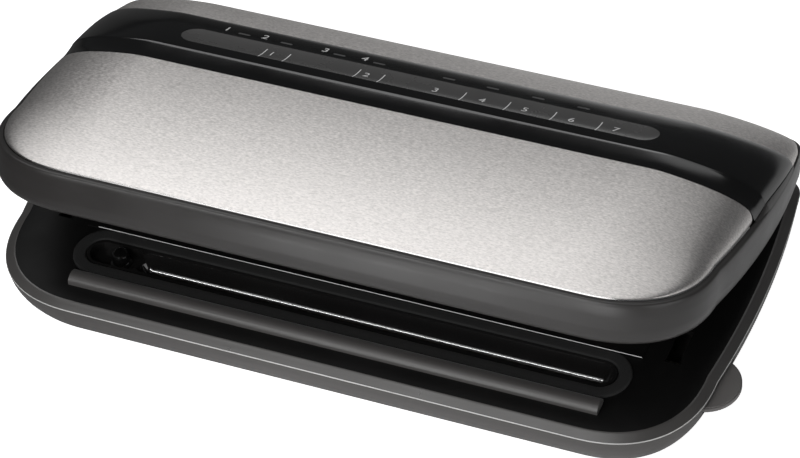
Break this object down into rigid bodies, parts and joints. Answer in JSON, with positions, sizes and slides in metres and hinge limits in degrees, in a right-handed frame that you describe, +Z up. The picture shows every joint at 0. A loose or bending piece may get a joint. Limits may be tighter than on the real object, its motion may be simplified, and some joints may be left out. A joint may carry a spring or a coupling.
{
  "type": "vacuum sealer",
  "caption": "Countertop vacuum sealer with a hinged steel-clad lid standing ajar over a foam-gasketed vacuum chamber, a silicone sealing bar and a side press tab.",
  "frame": {"origin": "on the surface the feet stand on, under the middle of the bounding box of the part as drawn, lid ajar", "axes": "+X to the right of the user, -Y the front with the chamber's mouth, +Z up"},
  "size_m": [0.4094, 0.2108, 0.1116],
  "materials": {
    "tub": "satin moulded plastic with a fine grain",
    "deck": "matt moulded plastic",
    "feet": "matt rubber",
    "screws": "zinc plated",
    "tray": "polished plastic",
    "foam": "closed-cell foam",
    "nozzle": "polished plastic",
    "silicone": "satin silicone",
    "motor": "satin",
    "pump": "matt",
    "hose": "smooth silicone",
    "valve": "satin",
    "board": "satin",
    "transformer": "varnished",
    "inlet": "matt",
    "latch": "satin acetal",
    "spring": "bright steel wire",
    "tab": "satin moulded plastic",
    "pins": "ground steel",
    "lid": "satin moulded plastic",
    "steel": "brushed along its length",
    "strip": "polished",
    "touch": "printed film, satin",
    "lens": "translucent",
    "cover": "matt moulded plastic",
    "heater": "matt phenolic",
    "tape": "woven coated tape"
  },
  "bodies": {
    "base": {"base_tub": "tub", "base_deck": "deck", "rubber_feet": "feet", "base_screws": "screws", "drip_tray": "tray", "lower_gasket": "foam", "vacuum_nozzle": "nozzle", "pressure_bar": "silicone", "pump_motor": "motor", "pump_head": "pump", "pump_cradle": "pump", "vacuum_hose": "hose", "release_valve": "valve", "power_board": "board", "transformer": "transformer", "power_inlet": "inlet", "latch_spring": "spring", "lever_pin": "pins", "hinge_pins": "pins"},
    "lid": {"lid_shell": "lid", "front_steel_plate": "steel", "rear_steel_plate": "steel", "control_strip": "strip", "touch_panel": "touch", "indicator_lenses": "lens", "control_board": "board", "board_screws": "screws", "lid_inner_cover": "cover", "upper_gasket": "foam", "heating_bar": "heater", "heating_tape": "tape", "latch_hooks": "latch", "lid_screws": "screws"},
    "press_lever": {"press_lever": "tab"},
    "latch_bar": {"latch_bar": "latch"}
  },
  "joints": [
    {"name": "lid_hinge", "type": "hinge", "parent": "base", "child": "lid", "pos_m": [-0.0034, 0.0985, 0.0335], "axis": [-1, 0, 0], "range_deg": [-16.8, 55.2]},
    {"name": "press_lever_pivot", "type": "hinge", "parent": "base", "child": "press_lever", "pos_m": [0.1806, -0.0445, 0.018], "axis": [0, 1, 0], "range_deg": [0, 12]},
    {"name": "latch_bar_slide", "type": "slide", "parent": "base", "child": "latch_bar", "axis": [1, 0, 0], "range_m": [-0.00209, 0], "stiffness_N_per_m": 150, "springref_m": 0.001, "deforming": ["latch_spring"]}
  ],
  "couplings": [
    {"joint": "press_lever_pivot", "follows": "latch_bar_slide", "rad_per_m": -100}
  ]
}
